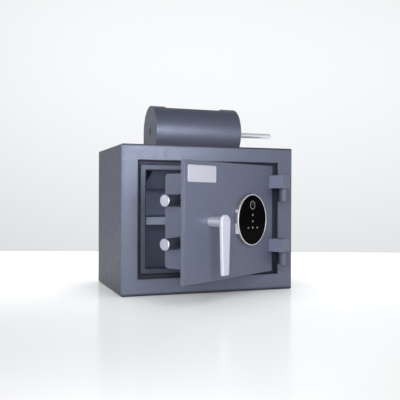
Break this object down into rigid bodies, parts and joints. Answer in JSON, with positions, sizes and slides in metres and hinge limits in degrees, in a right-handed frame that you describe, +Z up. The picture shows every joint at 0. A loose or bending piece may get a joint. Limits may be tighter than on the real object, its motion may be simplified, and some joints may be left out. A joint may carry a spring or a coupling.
{
  "type": "drop safe",
  "caption": "Small deposit safe with a rotary drop drum on top, a swinging door with keypad lock and lever handle, sliding lock bolts and an inner shelf.",
  "frame": {"origin": "middle of the underside of the safe body", "axes": "+Z up, -Y out of the front where the door is, +Y out of the back, +X to the hinge side, which is on the right as one faces the door"},
  "size_m": [0.38, 0.4061, 0.3935],
  "materials": {
    "body_paint": "grey-blue textured powder coat",
    "inner_paint": "grey-blue powder coat, in shade",
    "satin_steel": "satin",
    "plain_steel": "turned",
    "zinc_plate": "zinc plated",
    "dark_steel": "black oxide",
    "bright_chrome": "polished",
    "black_glass": "gloss black",
    "bronze": "sintered bush",
    "black_plastic": "fine grain",
    "cell_sleeve": "plain sleeve"
  },
  "bodies": {
    "safe_body": {"body_wrap": "body_paint", "back_plate": "body_paint", "front_frame": "body_paint", "door_stop": "body_paint", "jamb_frame": "inner_paint", "floor_plug_left": "black_plastic", "floor_plug_right": "black_plastic", "hinge_barrel_upper": "body_paint", "hinge_pin_upper": "plain_steel", "hinge_barrel_lower": "body_paint", "hinge_pin_lower": "plain_steel", "shelf": "body_paint", "shelf_rail_left": "inner_paint", "shelf_rail_right": "inner_paint", "drum_hood": "body_paint", "hood_end_left": "body_paint", "hood_end_right": "body_paint", "axle_bush_left": "bronze", "axle_bush_right": "bronze", "drop_chute": "zinc_plate", "fishing_baffle": "zinc_plate"},
    "rotor": {"rotor_shell": "body_paint", "rotor_disc_left": "body_paint", "rotor_disc_right": "body_paint", "rotor_stub": "plain_steel", "rotor_rod": "bright_chrome"},
    "door": {"door_plate": "body_paint", "name_plate": "satin_steel", "lock_housing": "bright_chrome", "lock_glass": "black_glass", "bolt_case": "body_paint", "battery_lid": "black_plastic", "bolt_guide": "zinc_plate", "dead_bar": "body_paint", "lock_cable": "black_plastic", "hinge_block_upper": "body_paint", "hinge_block_lower": "body_paint", "case_screw_1": "zinc_plate", "case_screw_2": "zinc_plate", "case_screw_3": "zinc_plate", "case_screw_4": "zinc_plate", "guide_post_1": "plain_steel", "guide_post_2": "plain_steel", "lock_driver": "dark_steel", "cell_holder": "black_plastic", "cell_1": "cell_sleeve", "cell_2": "cell_sleeve", "cell_3": "cell_sleeve", "cell_4": "cell_sleeve"},
    "handle": {"handle_lever": "satin_steel", "handle_crank": "plain_steel"},
    "bolts": {"bolt_carriage": "zinc_plate", "bolt_upper": "satin_steel", "bolt_lower": "satin_steel"},
    "plunger": {"lock_plunger": "plain_steel"}
  },
  "joints": [
    {"name": "door_swing", "type": "hinge", "parent": "safe_body", "child": "door", "pos_m": [0.1558, -0.144, 0.151], "axis": [0, 0, 1], "range_deg": [-23, 137]},
    {"name": "handle_turn", "type": "hinge", "parent": "door", "child": "handle", "pos_m": [-0.04717, -0.24557, 0.151], "axis": [-0.5358, 0.8443, 0], "range_deg": [0, 90]},
    {"name": "bolt_throw", "type": "slide", "parent": "door", "child": "bolts", "axis": [0.8443, 0.5358, 0], "range_m": [0, 0.033]},
    {"name": "plunger_slide", "type": "slide", "parent": "door", "child": "plunger", "axis": [0, 0, -1], "range_m": [0, 0.008]},
    {"name": "drum_turn", "type": "hinge", "parent": "safe_body", "child": "rotor", "pos_m": [0, 0, 0.3375], "axis": [1, 0, 0], "range_deg": [0, 180]}
  ],
  "couplings": [
    {"joint": "bolt_throw", "follows": "handle_turn", "m_per_rad": 0.021008}
  ]
}
